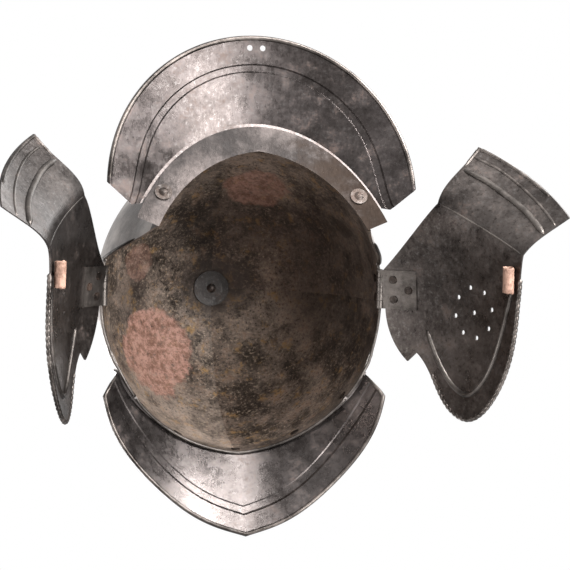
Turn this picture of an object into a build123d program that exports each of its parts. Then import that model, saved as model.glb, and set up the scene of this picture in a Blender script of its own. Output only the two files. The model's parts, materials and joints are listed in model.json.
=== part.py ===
from build123d import *
import os
from functools import cache
from math import cos, radians, sin, sqrt, tan

# Burgonet, worn upright: crown up along +Z, face towards -Y, wearer's left towards +X.
# The origin lies on the head opening, midway between the ears.

# Skull: a bowl of four keeled quarters
skull_half_width = 102.0
skull_front_reach = 110.5
skull_rear_reach = 113.0
skull_height = 140.0
skull_wall = 1.8
skirt_depth = 120.0
front_fullness_share = 0.694
rear_fullness_share = 0.706
crown_section_angles = (0, 18, 36, 53, 67, 78, 85)
skirt_section_shares = (
    (1.0, 0.76, 0.92, 0.89),
    (0.83, 0.81, 0.94, 0.915),
    (0.46, 0.887, 0.977, 0.956),
    (0.21, 0.97, 0.995, 0.99),
)

# Rim of the skull, seen from the side
brow_drop = 5.0
temple_drop = 22.0
temple_place = 54.0
hinge_rim_drop = 12.0
hinge_rim_front = 6.0
hinge_rim_rear = 28.0
nape_end_place = 54.0

# Neck opening: a plane that rises towards the back of the head
neck_tilt = 30.0
neck_plane_place = 107.0
neck_plane_drop = 62.0

# Nape flange, turned out of the skull's lower rear edge
flange_side_setback = 5.0
flange_half_width = skull_half_width - flange_side_setback
flange_rear_overhang = 9.0
flange_reach = skull_rear_reach + flange_rear_overhang
flange_thickness = 2.0
flange_end_setback = 31.0
flange_end_inset = skull_half_width - flange_end_setback
flange_end_slant_share = 0.4

# Neck guard
guard_centre_setback = 42.0
guard_centre_place = flange_reach - guard_centre_setback
guard_side_overhang = 7.5
guard_radius = flange_half_width + guard_side_overhang
guard_thickness = 1.5
guard_gap = 0.6
guard_half_angle = 98.0
guard_sections = 11
guard_slope_share = 0.5
guard_skull_clearance = 2.0
guard_bead_inset = 21.0
guard_hole_radius = 2.0
guard_hole_spacing = 9.0
guard_hole_inset = 8.5
guard_end_inner_setback = 19.5
guard_end_inner = skull_half_width - guard_end_inner_setback
guard_end_inner_lead = 17.0
guard_end_inner_place = guard_centre_place - guard_end_inner_lead
guard_end_outer = guard_radius
guard_end_outer_lag = 2.0
guard_end_outer_place = guard_centre_place + guard_end_outer_lag

# Raised beads and rolled edges of the plates
bead_width = 4.0
bead_flank = 1.0
bead_height = 1.0
roll_width = 3.4

# Rivets that carry the neck guard
neck_rivet_setback = 35.5
neck_rivet_offset = skull_half_width - neck_rivet_setback
neck_rivet_lead = 4.0
neck_rivet_place = guard_centre_place - neck_rivet_lead
neck_rivet_radius = 2.0
neck_rivet_play = 0.3
neck_rivet_head_radius = 4.0
neck_rivet_head_height = 1.8
neck_rivet_head_play = 0.8
clench_share = 1.6
neck_lug_front = 3.5
neck_washer_radius = 5.8
neck_washer_thickness = 1.0

# Peak
peak_overhang = 51.5
peak_reach = skull_front_reach + peak_overhang
peak_thickness = 1.5
peak_band_height = 14.0
peak_rim_reveal = 2.5
peak_tip_drop = 47.0
peak_end_drop = 42.0
peak_section_angles = (0, 7, 16, 27, 38, 48, 57, 65)
peak_overhang_shares = (1.0, 0.915, 0.8, 0.649, 0.533, 0.422, 0.295, 0.245)
peak_end_setback = 4.0
peak_end_width = skull_half_width - peak_end_setback
peak_end_place = 52.0
peak_end_round = 16.0
peak_band_end_place = 50.0
peak_bead_inset = 15.0
peak_bead_share = 0.7
peak_rivet_angles = (-48, -24, 0, 24, 48)
peak_rivet_radius = 1.5
peak_rivet_head_radius = 3.2
peak_rivet_head_height = 1.4

# Apex
apex_washer_radius = 13.7
apex_washer_thickness = 1.4
finial_base_radius = 15.0
finial_base_thickness = 1.2
finial_radius = 6.5
finial_neck_radius = 3.2
finial_neck_height = 3.0
finial_stem_radius = 2.0
finial_clench_radius = 3.6
finial_clench_height = 1.2

# Hinges of the cheek pieces
hinge_place = -10.0
hinge_drop = 16.3
hinge_set_in = 3.0
hinge_half_span = skull_half_width - hinge_set_in
hinge_length = 28.0
hinge_pin_radius = 1.4
hinge_pin_play = 0.05
hinge_barrel_radius = 2.9
hinge_knuckle_gap = 0.3
hinge_knuckles = 5
hinge_leaf_thickness = 1.4
skull_leaf_height = 22.0
cheek_leaf_height = 30.0
cheek_leaf_gap = 0.35
leaf_rivet_radius = 1.4
leaf_rivet_head_radius = 2.8
leaf_rivet_head_height = 1.2

# Cheek pieces, each in its own frame: down, forward and outward from the hinge axis
cheek_thickness = 1.4
cheek_seat = 5.14
cheek_dome = 8.0
cheek_sag = 16.0
cheek_crease_down = 52.0
cheek_crease_back = 62.5
cheek_crease_end_down = 127.0
cheek_crease_end_back = 29.5
cheek_collar_width = 41.0
cheek_collar_flare = 33.0
cheek_sheet_width = 145.0
cheek_sections = 5
cheek_drop = 150.0
cheek_reach = 100.0
collar_near_shares = (0.403, -1.026)
collar_mid_shares = (0.685, -0.82)
collar_far_shares = (0.973, -0.553)
chin_strap_shares = (0.837, -0.08)
lobe_shares = ((0.80, 0.31), (0.72, 0.65), (0.56, 0.86), (0.40, 0.78), (0.245, 0.495), (0.20, 0.435))
spur_tip_shares = (0.153, 0.502)
spur_front_shares = (0.067, 0.355)
left_cheek_rest = 21.0
right_cheek_rest = 34.0

# Breathing and hearing holes of a cheek piece
rosette_down = 80.0
rosette_forward = 12.0
rosette_radius = 17.5
rosette_count = 8
rosette_turn_share = 0.23
rosette_hole_radius = 1.6

# Strap stub of a cheek piece
strap_down = 120.0
strap_back = 13.0
strap_length = 14.0
strap_width = 17.0
strap_thickness = 2.0
strap_roll_radius = 4.6
strap_bore_radius = 1.8
strap_roll_gap = 1.0
strap_rivet_rise = 9.5
strap_rivet_radius = 1.2
strap_rivet_head_radius = 2.2
strap_rivet_head_height = 1.0

overrun = 40.0


def keel_section(height, side, front, rear):
    """Closed outline of four arcs that meet at the keels."""
    corners = [(0, -front), (side, 0), (0, rear), (-side, 0)]
    edges = []
    for start, end in zip(corners, corners[1:] + corners[:1]):
        fullness = front_fullness_share if start[1] + end[1] < 0 else rear_fullness_share
        middle = (fullness * (start[0] + end[0]), fullness * (start[1] + end[1]), height)
        edges.append(ThreePointArc((*start, height), middle, (*end, height)))
    return Wire(edges)


@cache
def bowl(grow):
    """Solid bowl whose surface stands outside the skull's outer face by a distance."""
    side = skull_half_width + grow
    front = skull_front_reach + grow
    rear = skull_rear_reach + grow
    sections = []
    for depth, side_share, front_share, rear_share in skirt_section_shares:
        sections.append(keel_section(
            -depth * skirt_depth,
            skull_half_width * side_share + grow,
            skull_front_reach * front_share + grow,
            skull_rear_reach * rear_share + grow,
        ))
    for angle in crown_section_angles:
        share = cos(radians(angle))
        height = (skull_height + grow) * sin(radians(angle))
        sections.append(keel_section(height, side * share, front * share, rear * share))
    return Solid.make_loft(sections)


def neck_height(place):
    """Height of the neck plane at a place along Y."""
    return -neck_plane_drop + (place - neck_plane_place) * tan(radians(neck_tilt))


def rim_keep(raise_by=0.0):
    """Prism that keeps what lies above the skull's rim."""
    front = -(skull_front_reach + overrun)
    rear = skull_rear_reach + overrun
    top = skull_height + overrun
    brow = Spline(
        (front, -brow_drop + raise_by),
        (-skull_front_reach, -brow_drop + raise_by),
        (-(skull_front_reach + temple_place) / 2, -(brow_drop + temple_drop) / 2 + raise_by),
        (-temple_place, -temple_drop + raise_by),
        (-hinge_rim_front, -hinge_rim_drop + raise_by),
        tangents=((1, 0), (1, 0)),
    )
    edges = [
        brow,
        *Polyline(
            (-hinge_rim_front, -hinge_rim_drop + raise_by),
            (hinge_rim_rear, -hinge_rim_drop + raise_by),
            (nape_end_place, neck_height(nape_end_place) + raise_by),
            (rear, neck_height(rear) + raise_by),
            (rear, top),
            (front, top),
            (front, -brow_drop + raise_by),
        ).edges(),
    ]
    profile = Plane.YZ * make_face(edges)
    return extrude(profile, 2 * skull_half_width, both=True)


def neck_slab(low, high):
    """Endless plate between two heights above the neck plane."""
    plane = Plane(
        origin=(0, neck_plane_place, -neck_plane_drop),
        x_dir=(1, 0, 0),
        z_dir=(0, -sin(radians(neck_tilt)), cos(radians(neck_tilt))),
    )
    size = 2 * (skull_rear_reach + overrun)
    return plane * Pos(0, 0, (low + high) / 2) * Box(2 * size, 2 * size, high - low)


def plan_prism(sketch):
    """Upright prism through the lower half of the helmet."""
    return Pos(0, 0, -skull_height) * extrude(sketch, 2 * skull_height)


def nape_flange():
    """Crescent that turns outwards along the skull's lower rear edge."""
    apex = nape_end_place - flange_end_slant_share * flange_end_inset
    wide = flange_half_width + overrun
    far = flange_reach + overrun
    behind_ends = make_face(Polyline(
        (0, apex),
        (wide, apex + flange_end_slant_share * wide),
        (wide, far),
        (-wide, far),
        (-wide, apex + flange_end_slant_share * wide),
        close=True,
    ))
    outline = Ellipse(flange_half_width, flange_reach) & behind_ends
    return (plan_prism(outline) & neck_slab(0, flange_thickness)) - bowl(-skull_wall)


def skull():
    """The one-piece bowl with its nape flange, holed for its rivets and finial."""
    shell = (bowl(0) - bowl(-skull_wall)) & rim_keep()
    body = shell + nape_flange()
    body -= Cylinder(finial_stem_radius, 4 * skull_height)
    for side in (1, -1):
        body -= neck_rivet_frame(side) * Cylinder(neck_rivet_radius, overrun)
        body -= skull_leaf_shanks(side)
    body -= peak_shanks()
    return body


def neck_rivet_frame(side):
    """Frame on the neck plane at a neck guard rivet, its Z square to the plane."""
    return Pos(side * neck_rivet_offset, neck_rivet_place, neck_height(neck_rivet_place)) * Rot(neck_tilt, 0, 0)


def flange_edge_distance(angle):
    """Distance from the neck guard's centre to the flange's outer edge."""
    across = sin(angle)
    back = cos(angle)
    a = (across / flange_half_width) ** 2 + (back / flange_reach) ** 2
    b = 2 * guard_centre_place * back / flange_reach**2
    c = (guard_centre_place / flange_reach) ** 2 - 1
    return (-b + sqrt(b * b - 4 * a * c)) / (2 * a)


def sheet_section(place, lower, thickness, outer, outer_height):
    """Thin closed section of a sheet that ends in a rolled edge.

    place turns a distance and a height into a point; lower lists the lower face from the inside out.
    """
    points = [*lower, (outer - roll_width, outer_height)]
    low = [place(*point) for point in points]
    high = [place(distance, height + thickness) for distance, height in points]
    tip = place(outer, outer_height + thickness / 2)
    edges = [Line(start, end) for start, end in zip(low, low[1:])]
    edges.append(ThreePointArc(low[-1], tip, high[-1]))
    high.reverse()
    edges += [Line(start, end) for start, end in zip(high, high[1:])]
    edges.append(Line(high[-1], low[0]))
    return Wire(edges)


def bead_points(inner, outer, inset):
    """Lower-face points of a raised bead on the straight run from inner to outer."""
    slope = (outer[1] - inner[1]) / (outer[0] - inner[0])
    start = outer[0] - inset
    width = min(bead_width, inset / 2)
    places = (
        (start - bead_flank, 0),
        (start, bead_height),
        (start + width, bead_height),
        (start + width + bead_flank, 0),
    )
    return [(distance, inner[1] + slope * (distance - inner[0]) + rise) for distance, rise in places]


def guard_section(angle):
    """Section of the neck guard along a ray from its centre."""
    turn = radians(angle)

    def place(distance, height):
        return (distance * sin(turn), guard_centre_place + distance * cos(turn), height)

    def seat(distance):
        lift = (flange_thickness + guard_gap) / cos(radians(neck_tilt))
        return neck_height(guard_centre_place + distance * cos(turn)) + lift

    start = neck_rivet_offset / 3 + (neck_rivet_offset / 2) * (angle / 90) ** 2
    bend = flange_edge_distance(turn) + flange_thickness
    outer = guard_radius - roll_width
    inner_point = (bend, seat(bend))
    outer_point = (outer, seat(outer) - guard_slope_share * (outer - bend))
    lower = [(start, seat(start)), inner_point]
    inset = min(guard_bead_inset, (outer - bend) - bead_width)
    lower += bead_points(inner_point, outer_point, inset)
    return sheet_section(place, lower, guard_thickness, guard_radius, outer_point[1])


def neck_guard():
    """Fan-shaped plate that lies over the nape flange and hangs on its two end rivets."""
    step = 2 * guard_half_angle / (guard_sections - 1)
    sections = [guard_section(-guard_half_angle + step * index) for index in range(guard_sections)]
    body = Solid.make_loft(sections)
    slope = (guard_end_outer_place - guard_end_inner_place) / (guard_end_outer - guard_end_inner)
    apex = guard_end_inner_place - slope * guard_end_inner
    wide = guard_radius + overrun
    far = guard_centre_place + wide
    behind_ends = make_face(Polyline(
        (0, apex), (wide, apex + slope * wide), (wide, far), (-wide, far), (-wide, apex + slope * wide),
        close=True,
    ))
    body &= plan_prism(behind_ends)
    body -= bowl(guard_skull_clearance)
    lug_front = neck_rivet_place - neck_lug_front
    over_flange = Ellipse(flange_half_width + guard_gap, flange_reach + guard_gap)
    ahead = Pos(0, lug_front - guard_radius, 0) * Rectangle(4 * guard_radius, 2 * guard_radius)
    body -= plan_prism(over_flange & ahead)
    for side in (1, -1):
        body -= neck_rivet_frame(side) * Cylinder(neck_rivet_radius + neck_rivet_play, overrun)
        hole = Pos(side * guard_hole_spacing / 2, guard_centre_place + guard_radius - guard_hole_inset, 0)
        body -= plan_prism(hole * Circle(guard_hole_radius))
    return body


def neck_rivet(side):
    """Loose rivet through the flange and the neck guard, clenched on its washer below."""
    guard_top = flange_thickness + guard_gap + guard_thickness
    top = guard_top + neck_rivet_head_play
    low = -neck_washer_thickness
    shank = Pos(0, 0, (low + top) / 2) * Cylinder(neck_rivet_radius, top - low)
    head = rivet_head(neck_rivet_head_radius, neck_rivet_head_height)
    clench = rivet_head(clench_share * neck_rivet_radius, neck_rivet_head_height / 2)
    body = shank + Pos(0, 0, top) * head + Pos(0, 0, low) * Rot(180, 0, 0) * clench
    return neck_rivet_frame(side) * body


def neck_washer(side):
    """Washer on the flange's lower face."""
    ring = Cylinder(neck_washer_radius, neck_washer_thickness) - Cylinder(neck_rivet_radius, neck_washer_thickness)
    return neck_rivet_frame(side) * Pos(0, 0, -neck_washer_thickness / 2) * ring


def rivet_head(radius, height):
    """Low domed head that stands on Z = 0."""
    ball = (radius**2 + height**2) / (2 * height)
    return Pos(0, 0, height - ball) * Sphere(ball) & Pos(0, 0, height / 2) * Cylinder(radius, height)


def peak_section(angle, share):
    """Section of the peak along a ray from the skull's centre."""
    turn = radians(angle)

    def place(distance, height):
        return (distance * sin(turn), -distance * cos(turn), height)

    rim = 1 / sqrt((sin(turn) / skull_half_width) ** 2 + (cos(turn) / skull_front_reach) ** 2)
    along = rim * cos(turn)
    brow_share = (skull_front_reach - along) / (skull_front_reach - peak_band_end_place)
    rim_height = -brow_drop - (temple_drop - brow_drop) * brow_share + peak_rim_reveal
    outer = rim + peak_overhang * share
    end_share = angle / peak_section_angles[-1]
    tip_height = -(peak_tip_drop + (peak_end_drop - peak_tip_drop) * end_share)
    outer_height = rim_height + (tip_height - rim_height) * min(1, share + end_share / 2)
    inner_point = (rim - 2 * peak_thickness, rim_height)
    outer_point = (outer - roll_width, outer_height)
    lower = [inner_point]
    inset = min(peak_bead_inset, (outer - rim - roll_width) * peak_bead_share)
    lower += bead_points(inner_point, outer_point, inset)
    return sheet_section(place, lower, peak_thickness, outer, outer_height)


def peak():
    """Pointed brow plate with a keel, held by a band riveted to the skull's outer face."""
    sections = [peak_section(*pair) for pair in zip(peak_section_angles, peak_overhang_shares)]
    half = Solid.make_loft(sections)
    band = (bowl(peak_thickness) - bowl(0)) & rim_keep(peak_rim_reveal)
    band -= rim_keep(peak_rim_reveal + peak_band_height)
    reach = skull_front_reach + overrun
    front = Pos(0, -(reach + peak_band_end_place) / 2, 0)
    band &= front * Box(4 * reach, reach - peak_band_end_place, 4 * skull_height)
    end = peak_end_place + peak_end_round
    trim = make_face([
        *Polyline((0, -peak_end_place), (0, -2 * peak_reach), (2 * peak_reach, -2 * peak_reach)).edges(),
        Line((2 * peak_reach, -2 * peak_reach), (peak_end_width + peak_end_round, -end - peak_end_round)),
        Line((peak_end_width + peak_end_round, -end - peak_end_round), (peak_end_width + peak_end_round / 4, -end)),
        Line((peak_end_width + peak_end_round / 4, -end), (peak_end_width - peak_end_round / 2, -peak_end_place)),
        Line((peak_end_width - peak_end_round / 2, -peak_end_place), (0, -peak_end_place)),
    ])
    half &= plan_prism(trim)
    body = half + mirror(half, Plane.YZ) + band
    body -= bowl(0)
    body -= peak_shanks()
    return body


def peak_rivet_frames():
    """Frames on the peak's band, each with its Z out of the skull."""
    frames = []
    height = -brow_drop + peak_rim_reveal + peak_band_height / 2
    for angle in peak_rivet_angles:
        turn = radians(angle)
        rim = 1 / sqrt((sin(turn) / skull_half_width) ** 2 + (cos(turn) / skull_front_reach) ** 2)
        along = rim * cos(turn)
        brow_share = (skull_front_reach - along) / (skull_front_reach - peak_band_end_place)
        drop = (temple_drop - brow_drop) * brow_share
        out = Vector(sin(turn), -cos(turn), 0)
        plane = Plane(origin=(rim * out.X, rim * out.Y, height - drop), z_dir=out)
        frames.append(plane)
    return frames


def peak_shanks():
    """Shanks of the peak's rivets, also used to hole what they pass through."""
    length = 4 * (skull_wall + peak_thickness)
    return Compound([plane * Cylinder(peak_rivet_radius, length) for plane in peak_rivet_frames()])


def peak_rivets():
    """Rivets along the peak's band, clenched inside the skull."""
    solids = []
    keep = bowl(peak_thickness + peak_rivet_head_height) - bowl(-skull_wall - peak_rivet_head_height / 2)
    bare = bowl(peak_thickness) - bowl(-skull_wall)
    length = 4 * (skull_wall + peak_thickness)
    for plane in peak_rivet_frames():
        shank = plane * Cylinder(peak_rivet_radius, length)
        heads = (plane * Cylinder(peak_rivet_head_radius, length)) - bare
        solids.append(((shank + heads) & keep).solids()[0])
    return Compound(solids)


def apex_height(grow):
    """Height of the small flat at the crown of a bowl."""
    return (skull_height + grow) * sin(radians(crown_section_angles[-1]))


def apex_washer():
    """Dished washer inside the crown."""
    inside = bowl(-skull_wall) - bowl(-skull_wall - apex_washer_thickness)
    disc = Pos(0, 0, skull_height) * Cylinder(apex_washer_radius, skull_height / 2)
    return (inside & disc) - Cylinder(finial_stem_radius, 4 * skull_height)


def finial_base():
    """Dished plate under the finial."""
    outside = bowl(finial_base_thickness) - bowl(0)
    disc = Pos(0, 0, skull_height) * Cylinder(finial_base_radius, skull_height / 2)
    return (outside & disc) - Cylinder(finial_stem_radius, 4 * skull_height)


def finial():
    """Turned button whose stem is clenched under the apex washer."""
    base = apex_height(finial_base_thickness)
    inside = apex_height(-skull_wall - apex_washer_thickness)
    neck = Pos(0, 0, base + finial_neck_height / 2) * Cylinder(finial_neck_radius, finial_neck_height)
    ball_centre = base + finial_neck_height + finial_radius * 0.8
    button = Pos(0, 0, ball_centre) * Sphere(finial_radius)
    stem_height = base - inside
    stem = Pos(0, 0, inside + stem_height / 2) * Cylinder(finial_stem_radius, stem_height)
    clench = Pos(0, 0, inside) * Rot(180, 0, 0) * rivet_head(finial_clench_radius, finial_clench_height)
    return neck + button + stem + clench


def hinge_axis_frame(side):
    """Frame at a cheek hinge, on the pin's axis."""
    return Pos(side * hinge_half_span, -hinge_place, -hinge_drop)


def barrel(indices):
    """Knuckles of a hinge about the Y axis through the origin, one for each index given."""
    pitch = hinge_length / hinge_knuckles
    knuckles = []
    for index in indices:
        centre = -hinge_length / 2 + pitch * (index + 0.5)
        knuckle = Rot(90, 0, 0) * Cylinder(hinge_barrel_radius, pitch - hinge_knuckle_gap)
        knuckles.append(Pos(0, centre, 0) * knuckle)
    return knuckles


def pin_hole(radius):
    """Bore or pin along a hinge's axis."""
    return Rot(90, 0, 0) * Cylinder(radius, hinge_length + hinge_knuckle_gap)


def skull_leaf_rivet_planes(side):
    """Frames of the skull leaf's rivets, each with its Z out of the skull."""
    planes = []
    for along in (-hinge_length / 4, hinge_length / 4):
        height = -hinge_rim_drop + skull_leaf_height * 0.6
        origin = (side * skull_half_width, -hinge_place + along, height)
        planes.append(Plane(origin=origin, z_dir=(side, 0, 0)))
    return planes


def skull_leaf_shanks(side):
    """Shanks of the skull leaf's rivets."""
    length = overrun / 2
    return Compound([plane * Cylinder(leaf_rivet_radius, length) for plane in skull_leaf_rivet_planes(side)])


def skull_leaf(side):
    """Hinge leaf on the skull's outer face, with the outer and middle knuckles."""
    sheet = bowl(hinge_leaf_thickness) - bowl(0)
    low = -hinge_drop
    high = -hinge_rim_drop + skull_leaf_height
    window = Pos(side * skull_half_width, -hinge_place, (low + high) / 2)
    leaf = sheet & window * Box(overrun, hinge_length - hinge_knuckle_gap, high - low)
    frame = hinge_axis_frame(side)
    for knuckle in barrel(range(1, hinge_knuckles, 2)):
        clear = hinge_barrel_radius + cheek_leaf_gap
        bound = knuckle.bounding_box()
        slot = Pos(0, bound.center().Y, 0) * Rot(90, 0, 0) * Cylinder(clear, bound.size.Y + 2 * hinge_knuckle_gap)
        leaf -= frame * slot
    for knuckle in barrel(range(0, hinge_knuckles, 2)):
        leaf += frame * knuckle
    leaf -= frame * pin_hole(hinge_pin_radius)
    leaf -= skull_leaf_shanks(side)
    return leaf


def skull_leaf_rivets(side):
    """Rivets through the skull leaf and the skull's wall."""
    outside = bowl(hinge_leaf_thickness + leaf_rivet_head_height)
    inside = bowl(-skull_wall - leaf_rivet_head_height / 2)
    bare = bowl(hinge_leaf_thickness) - bowl(-skull_wall)
    solids = []
    for plane in skull_leaf_rivet_planes(side):
        shank = plane * Cylinder(leaf_rivet_radius, overrun / 2)
        heads = (plane * Cylinder(leaf_rivet_head_radius, overrun / 2)) - bare
        solids += ((shank + heads) & outside - inside).solids()
    return Compound(solids)


def hinge_pin(side):
    """Pin held in the skull leaf's knuckles."""
    return hinge_axis_frame(side) * pin_hole(hinge_pin_radius)


def cheek_crease():
    """Start, direction and inward normal of the crease, in down and forward."""
    start = Vector(cheek_crease_down, -cheek_crease_back)
    end = Vector(cheek_crease_end_down, -cheek_crease_end_back)
    along = (end - start).normalized()
    inward = Vector(-along.Y, along.X)
    return start, along, inward, (end - start).length


def cheek_point(along_crease, from_crease, lift):
    """Point of the cheek sheet in world axes about the hinge, for the wearer's left side."""
    start, along, inward, length = cheek_crease()
    flat = start + along * along_crease + inward * from_crease
    mid_width = cheek_sheet_width / 2
    sag = cheek_sag * ((along_crease - length / 2) / length) ** 2
    if from_crease >= 0:
        dome = cheek_dome * (1 - ((from_crease - mid_width) / mid_width) ** 2)
    else:
        dome = cheek_collar_flare * -from_crease / cheek_collar_width
    outward = cheek_seat - cheek_dome / 2 + dome - sag + lift
    return (outward, flat.Y * -1, -flat.X)


def cheek_sheet(low, high):
    """Domed sheet with a flared collar, between two distances outside the inner face."""
    start, along, inward, length = cheek_crease()
    margin = length / 2
    step = (length + 2 * margin) / (cheek_sections - 1)
    places = [-cheek_collar_width - overrun / 4, -cheek_collar_width / 2, -cheek_collar_width / 10]
    places += [cheek_sheet_width * share for share in (0.08, 0.36, 0.7, 1.02)]
    sections = []
    for index in range(cheek_sections):
        station = -margin + step * index
        inner = [cheek_point(station, place, low) for place in places]
        outer = [cheek_point(station, place, high) for place in places]
        sections.append(Wire([
            Spline(*inner),
            Line(inner[-1], outer[-1]),
            Spline(*reversed(outer)),
            Line(outer[0], inner[0]),
        ]))
    return Solid.make_loft(sections)


def side_prism(face):
    """Prism across the cheek piece from an outline given in forward and up."""
    placed = Plane(origin=(0, 0, 0), x_dir=(0, -1, 0), z_dir=(-1, 0, 0)) * face
    return extrude(placed, 2 * overrun, both=True)


def flat_point(down, forward):
    """Outline point from the hinge axis: forward, then up."""
    return (forward, -down)


def outline_point(shares):
    """Outline point from shares of the cheek piece's drop and reach."""
    return flat_point(shares[0] * cheek_drop, shares[1] * cheek_reach)


def cheek_outline():
    """Side outline of a cheek piece with its collar."""
    top = hinge_barrel_radius + cheek_leaf_gap + cheek_thickness / 2
    rear_top = flat_point(top, -hinge_length / 2 - hinge_knuckle_gap)
    collar_start = flat_point(cheek_crease_down, -cheek_crease_back)
    collar_near = outline_point(collar_near_shares)
    collar_far = outline_point(collar_far_shares)
    waist = flat_point(cheek_crease_end_down, -cheek_crease_end_back)
    strap = outline_point(chin_strap_shares)
    lobe = [outline_point(shares) for shares in lobe_shares]
    spur_tip = outline_point(spur_tip_shares)
    front_top = flat_point(top, hinge_length / 2 + hinge_knuckle_gap)
    edges = [
        Line(rear_top, collar_start),
        Line(collar_start, collar_near),
        ThreePointArc(collar_near, outline_point(collar_mid_shares), collar_far),
        Line(collar_far, waist),
        Line(waist, strap),
        Spline(strap, *lobe),
        Line(lobe[-1], spur_tip),
        ThreePointArc(spur_tip, outline_point(spur_front_shares), front_top),
        Line(front_top, rear_top),
    ]
    return make_face(edges)


def rosette():
    """Nine holes: one in the middle and a ring about it."""
    holes = [(rosette_down, rosette_forward)]
    for index in range(rosette_count):
        turn = radians(360 / rosette_count * (index + rosette_turn_share))
        holes.append((rosette_down + rosette_radius * sin(turn), rosette_forward + rosette_radius * cos(turn)))
    circles = [Pos(*flat_point(down, forward)) * Circle(rosette_hole_radius) for down, forward in holes]
    return Compound([side_prism(circle) for circle in circles])


def cheek_leaf_rivet_places():
    """Down and forward places of the cheek leaf's three rivets."""
    return (
        (cheek_leaf_height * 0.4, -hinge_length / 4),
        (cheek_leaf_height * 0.4, hinge_length / 4),
        (cheek_leaf_height * 0.8, 0),
    )


def across(down, forward, radius):
    """Rod across the cheek piece at a place of its outline."""
    return side_prism(Pos(*flat_point(down, forward)) * Circle(radius))


def cheek_plate():
    """Cheek piece for the wearer's left, hanging straight down from its hinge."""
    body = cheek_sheet(0, cheek_thickness) & side_prism(cheek_outline())
    body -= rosette()
    for down, forward in cheek_leaf_rivet_places():
        body -= across(down, forward, leaf_rivet_radius)
    body -= across(strap_down - strap_rivet_rise, -strap_back, strap_rivet_radius)
    return body


def cheek_leaf():
    """Hinge leaf on the cheek piece's inner face, with the two inner knuckles."""
    width = hinge_length - hinge_knuckle_gap
    outline = Pos(0, -cheek_leaf_height / 2) * Rectangle(width, cheek_leaf_height)
    leaf = cheek_sheet(-hinge_leaf_thickness, 0) & side_prism(outline)
    for knuckle in barrel(range(0, hinge_knuckles, 2)):
        bound = knuckle.bounding_box()
        clear = hinge_barrel_radius + cheek_leaf_gap
        slot = Pos(0, bound.center().Y, 0) * Rot(90, 0, 0) * Cylinder(clear, bound.size.Y + 2 * hinge_knuckle_gap)
        leaf -= slot
    for knuckle in barrel(range(1, hinge_knuckles, 2)):
        leaf += knuckle
    leaf -= pin_hole(hinge_pin_radius + hinge_pin_play)
    for down, forward in cheek_leaf_rivet_places():
        leaf -= across(down, forward, leaf_rivet_radius)
    return leaf


def sheet_rivet(down, forward, radius, head_radius, head_height, inner, outer):
    """Rivet across the cheek sheet with a head on each side."""
    keep = cheek_sheet(inner - head_height, outer + head_height)
    bare = cheek_sheet(inner, outer)
    heads = (across(down, forward, head_radius) & keep) - bare
    return (across(down, forward, radius) & keep) + heads


def cheek_leaf_rivets():
    """Rivets through the cheek leaf and the plate."""
    solids = []
    for down, forward in cheek_leaf_rivet_places():
        solids += sheet_rivet(
            down, forward, leaf_rivet_radius, leaf_rivet_head_radius, leaf_rivet_head_height,
            -hinge_leaf_thickness, cheek_thickness,
        ).solids()
    return Compound(solids)


def cheek_face(down, forward, lift):
    """Point on the cheek sheet at a place of its outline."""
    start, along, inward, length = cheek_crease()
    from_start = Vector(down, forward) - start
    return cheek_point(from_start.dot(along), from_start.dot(inward), lift)


def strap_stub():
    """Worn end of a chin strap: a flat tail on the inner face with a rolled end."""
    tail = Pos(*flat_point(strap_down - strap_length / 2, -strap_back)) * Rectangle(strap_width, strap_length)
    body = cheek_sheet(-strap_thickness, 0) & side_prism(tail)
    roll = Cylinder(strap_roll_radius, strap_width) - Cylinder(strap_bore_radius, strap_width)
    centre = cheek_face(strap_down, -strap_back, -strap_roll_radius - strap_roll_gap)
    body += Pos(*centre) * Rot(90, 0, 0) * roll
    body -= across(strap_down - strap_rivet_rise, -strap_back, strap_rivet_radius)
    return body


def strap_rivet():
    """Rivet through the strap stub and the plate."""
    return sheet_rivet(
        strap_down - strap_rivet_rise, -strap_back, strap_rivet_radius, strap_rivet_head_radius,
        strap_rivet_head_height, -strap_thickness, cheek_thickness,
    )


def hang(shape, side):
    """Place a piece of the left cheek frame at a side's hinge, opened to its rest angle."""
    if side > 0:
        return hinge_axis_frame(1) * Rot(0, -left_cheek_rest, 0) * shape
    return hinge_axis_frame(-1) * Rot(0, right_cheek_rest, 0) * mirror(shape, Plane.YZ)


def main():
    """Write one file for each node."""
    nodes = {
        "skull": skull(),
        "peak": peak(),
        "peak_rivets": peak_rivets(),
        "apex_washer": apex_washer(),
        "finial_base": finial_base(),
        "finial": finial(),
        "neck_guard": neck_guard(),
    }
    plate = cheek_plate()
    leaf = cheek_leaf()
    leaf_rivets = cheek_leaf_rivets()
    strap = strap_stub()
    strap_fixing = strap_rivet()
    for name, side in (("left", 1), ("right", -1)):
        nodes[f"neck_rivet_{name}"] = neck_rivet(side)
        nodes[f"neck_washer_{name}"] = neck_washer(side)
        nodes[f"skull_hinge_leaf_{name}"] = skull_leaf(side)
        nodes[f"skull_hinge_rivets_{name}"] = skull_leaf_rivets(side)
        nodes[f"hinge_pin_{name}"] = hinge_pin(side)
        nodes[f"cheek_piece_{name}"] = hang(plate, side)
        nodes[f"cheek_hinge_leaf_{name}"] = hang(leaf, side)
        nodes[f"cheek_hinge_rivets_{name}"] = hang(leaf_rivets, side)
        nodes[f"strap_stub_{name}"] = hang(strap, side)
        nodes[f"strap_rivet_{name}"] = hang(strap_fixing, side)
    os.makedirs("parts", exist_ok=True)
    for name, shape in nodes.items():
        export_step(shape, f"parts/{name}.step")


main()
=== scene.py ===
"""Burgonet built crown up, with a camera below it that looks into the bowl."""

import json
import logging
import math
from dataclasses import dataclass, field, replace
from enum import Enum
from typing import Callable, Optional

import bmesh
import bpy
from mathutils import Matrix, Vector
from mathutils import noise
from mathutils.bvhtree import BVHTree


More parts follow.
